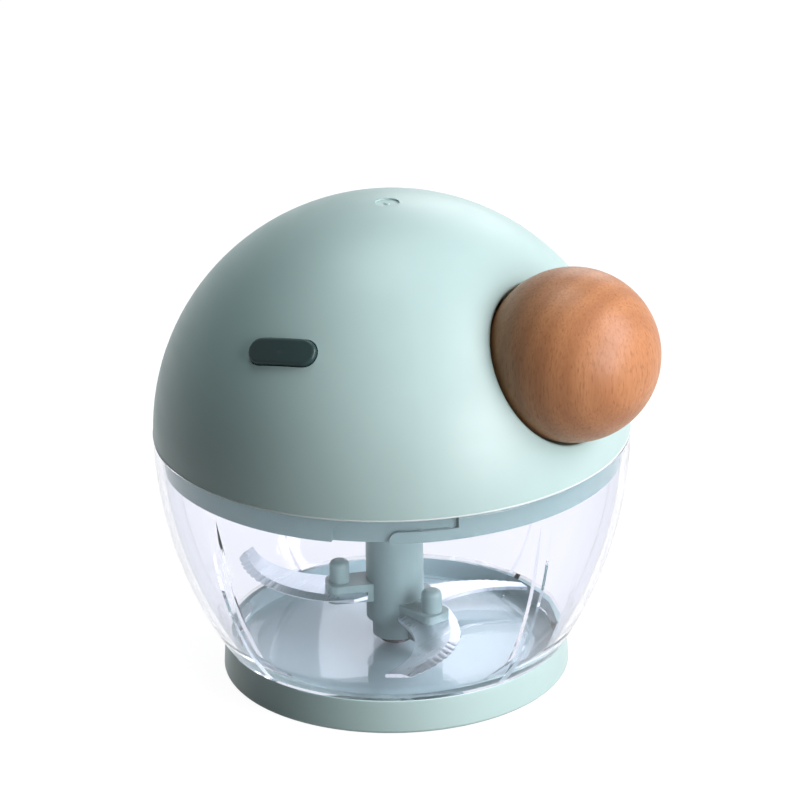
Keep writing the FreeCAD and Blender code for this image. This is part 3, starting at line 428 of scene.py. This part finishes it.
def make_pull_cord():
    """The stretch of cord from the drum to the knot in the ball. The part past the eyelet
    pays out with the handle."""
    drum, leaves, ease = 16.3 * MM, 84.0 * MM, 2.0 * MM
    straight_steps, bend_steps, eyelet_steps, pulled_steps = 6, 6, 4, 24
    bend, end, pulled_from, pulled_to = (
        DOME_CENTRE + PULL * reach * MM for reach in (35.97, 52.72, 43.9, 49.0))
    turn = -math.acos(drum / bend.x)
    start = Vector((drum * math.cos(turn), drum * math.sin(turn), leaves))
    arriving, leaving = (bend - start).normalized(), (end - bend).normalized()
    first, last = bend - arriving * ease, bend + leaving * ease
    points = [start + (first - start) * step / straight_steps for step in range(straight_steps)]
    for step in range(bend_steps + 1):
        share = step / bend_steps
        points.append(first * (1 - share) ** 2 + bend * 2 * share * (1 - share) + last * share ** 2)
    points += [last + (pulled_from - last) * step / eyelet_steps for step in range(1, eyelet_steps)]
    points += [pulled_from + (pulled_to - pulled_from) * step / pulled_steps
               for step in range(pulled_steps + 1)]
    points.append(end)
    cord = new_piece("pull_cord_braided", tube_mesh("pull_cord_braided", points, CORD_DRAWN),
                     "cord_fibre", None, "pull_cord")
    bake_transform(cord)


def make_wound_cord():
    """The cord on the drum, turn on turn."""
    drum, low, high = 16.32 * MM, 80.15 * MM, 82.3 * MM
    pitch, steps = 2 * CORD_RADIUS, 96
    turns = (high - low) / pitch
    points = []
    for step in range(int(turns * steps) + 1):
        angle = 2 * math.pi * step / steps
        points.append(Vector((drum * math.cos(angle), drum * math.sin(angle), low + pitch * step / steps)))
    new_piece("wound_cord_turns", tube_mesh("wound_cord_turns", points, CORD_DRAWN, sides=12),
              "cord_fibre", "spool", "wound_cord")


def lathed_mesh(name, profile, steps=256):
    """A closed ring whose section is the profile's radii and heights."""
    shape = bmesh.new()
    rings = []
    for step in range(steps):
        angle = 2 * math.pi * step / steps
        rings.append([shape.verts.new((out * math.cos(angle), out * math.sin(angle), height))
                      for out, height in profile])
    for first, second in zip(rings, rings[1:] + rings[:1]):
        for index in range(len(profile)):
            following = (index + 1) % len(profile)
            shape.faces.new((first[index], second[index], second[following], first[following]))
    bmesh.ops.recalc_face_normals(shape, faces=shape.faces)
    mesh = bpy.data.meshes.new(name)
    shape.to_mesh(mesh)
    shape.free()
    mesh.shade_smooth()
    mesh.set_sharp_from_angle(angle=math.radians(40))
    return mesh


def make_seal():
    """The lid's seal, whose rounded lip shows as a pale line on top of the bowl's rim."""
    inner, reach, low, high, lip = 60.9 * MM, 63.1 * MM, 68.0 * MM, 68.45 * MM, 0.22 * MM
    middle = (low + high) / 2
    steps = 8
    profile = [(inner, low), (inner, high)]
    for step in range(steps + 1):
        angle = math.pi / 2 - math.pi * step / steps
        profile.append((reach - lip + lip * math.cos(angle), middle + lip * math.sin(angle)))
    new_piece("lid_seal_lip", lathed_mesh("lid_seal_lip", profile), "seal_silicone", "lid_seal", "lid_seal")


def arc_between(start, stop, radius, side):
    """The centre of the arc from start to stop, on its left (1) or right (-1), and its angles."""
    half = (stop - start) / 2
    rise = math.sqrt(radius ** 2 - half.length ** 2)
    centre = start + half + Vector((-half.y, half.x)).normalized() * rise * side
    first, last = start - centre, stop - centre
    begin, end = math.atan2(first.y, first.x), math.atan2(last.y, last.x)
    return centre, begin, begin + (end - begin + math.pi) % (2 * math.pi) - math.pi


def scalloped(radius, angle, notches):
    """The leading edge's radius at an angle, less where one of the round notches is ground in."""
    outside, notch_radius = 0.55, 0.95
    out = radius + outside
    for notch in notches:
        sideways = out * math.sin(angle - notch)
        if abs(sideways) < notch_radius:
            deep = out * math.cos(angle - notch) - math.sqrt(notch_radius ** 2 - sideways ** 2)
            radius = min(radius, deep)
    return radius


def blade_outline(reach, thick):
    """A crescent blade from above: the corners of its underside, those of its top inside the
    ground bevel, and the height that the bevel leaves at each."""
    thin, ground, steps, fade_steps = 0.15, 2.4, 168, 30
    lead_radius, back_radius, back_steps = 33.0, 25.0, 40
    first_notch, notch_pitch, notch_count = 0.52, 0.06, 8
    root = [Vector((8.6, -6.4)), Vector((8.6, 6.4))]
    start, lead = Vector((12.4, 7.8)), Vector((0.815, -0.579)) * reach
    tip, heel = Vector((0.716, -0.684)) * reach, Vector((15.5, -8.6))
    centre, begin, end = arc_between(start, lead, lead_radius, -1)
    notches = [begin + (end - begin) * (first_notch + notch_pitch * step) for step in range(notch_count)]
    outer, inner, edge = list(root), list(root), [thick, thick]
    for step in range(steps + 1):
        angle = begin + (end - begin) * step / steps
        facing = Vector((math.cos(angle), math.sin(angle)))
        width = ground * min(1, step / fade_steps)
        outer.append(centre + facing * scalloped(lead_radius, angle, notches))
        inner.append(centre + facing * (lead_radius - width))
        edge.append(thick - (thick - thin) * width / ground)
    inner[-1] = lead + (tip - lead).normalized() * ground
    back, first, last = arc_between(tip, heel, back_radius, 1)
    for step in range(back_steps + 1):
        angle = first + (last - first) * step / back_steps
        outer.append(back + Vector((math.cos(angle), math.sin(angle))) * back_radius)
        inner.append(outer[-1])
        edge.append(thick)
    return outer, inner, edge


def make_blade(level, low, turn, reach):
    """A crescent blade with a ground, scalloped leading edge and a hole for its rivet."""
    thick, rivet, hole_radius, hole_steps = 1.0, 13.5, 1.56, 32
    outer, inner, edge = blade_outline(reach, thick)
    shape = bmesh.new()
    spun = Matrix.Rotation(math.radians(turn), 4, "Z") @ Matrix.Diagonal((MM, MM, MM, 1))

    def corner(point, height):
        return shape.verts.new(spun @ Vector((point.x, point.y, low + height)))

    under = [corner(point, 0) for point in outer]
    over = [corner(point, thick) for point in inner]
    brink = [high if rise == thick else corner(point, rise)
             for point, high, rise in zip(outer, over, edge)]
    hole = [Vector((rivet + hole_radius * math.cos(angle), hole_radius * math.sin(angle)))
            for angle in (2 * math.pi * step / hole_steps for step in range(hole_steps))]
    eyes = [[corner(point, height) for point in hole] for height in (0, thick)]
    for index in range(len(outer)):
        after = (index + 1) % len(outer)
        wall = [under[index], under[after], brink[after], over[after], over[index], brink[index]]
        side = [under[index], under[after], brink[after], brink[index]]
        slope = [brink[index], brink[after], over[after], over[index]]
        flat = edge[index] < thick and edge[after] == thick
        for loop in ([wall] if flat else [side, slope]):
            distinct = list(dict.fromkeys(loop))
            if len(distinct) > 2:
                shape.faces.new(distinct)
    for index in range(hole_steps):
        after = (index + 1) % hole_steps
        shape.faces.new((eyes[0][index], eyes[0][after], eyes[1][after], eyes[1][index]))
    for rim, eye in ((under, eyes[0]), (over, eyes[1])):
        loops = [[shape.edges.get((ring[index], ring[(index + 1) % len(ring)])) for index in range(len(ring))]
                 for ring in (rim, eye)]
        bmesh.ops.triangle_fill(shape, use_beauty=True, edges=loops[0] + loops[1])
    bmesh.ops.recalc_face_normals(shape, faces=shape.faces)
    name = f"blade_{level}_ground"
    mesh = bpy.data.meshes.new(name)
    shape.to_mesh(mesh)
    shape.free()
    mesh.shade_smooth()
    mesh.set_sharp_from_angle(angle=math.radians(14))
    new_piece(name, mesh, "blade_steel", "blades", f"blade_{level}")


def make_button_spring():
    """The coil spring under the press button, coiled between its seat and the button's cap at rest. It is
    drawn at that length only, not shortened as the button goes in.
    """
    wire, coil, turns, clearance = 0.3, 2.5, 4, 0.02
    floor, cap, travel = 52.4, 58.0, 1.2
    side = BUTTON.orthogonal().normalized()
    across = BUTTON.cross(side)
    steps = 36 * turns
    low, high = floor + wire + clearance, cap - wire - clearance
    points = []
    for step in range(steps + 1):
        angle = 2 * math.pi * turns * step / steps
        ring = side * math.cos(angle) + across * math.sin(angle)
        points.append(DOME_CENTRE + (BUTTON * (low + (high - low) * step / steps) + ring * coil) * MM)
    spring = new_piece("button_spring_coil", tube_mesh("button_spring_coil", points, wire * MM, sides=12),
                       "spring_steel", "lid", "button_spring")
    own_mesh(spring)


make_pull_cord()
make_wound_cord()
make_button_spring()
make_seal()
make_blade("upper", low=21.2, turn=-133.5, reach=47.0)
make_blade("middle", low=16.1, turn=-13.5, reach=45.0)
make_blade("lower", low=11.0, turn=106.5, reach=40.6)
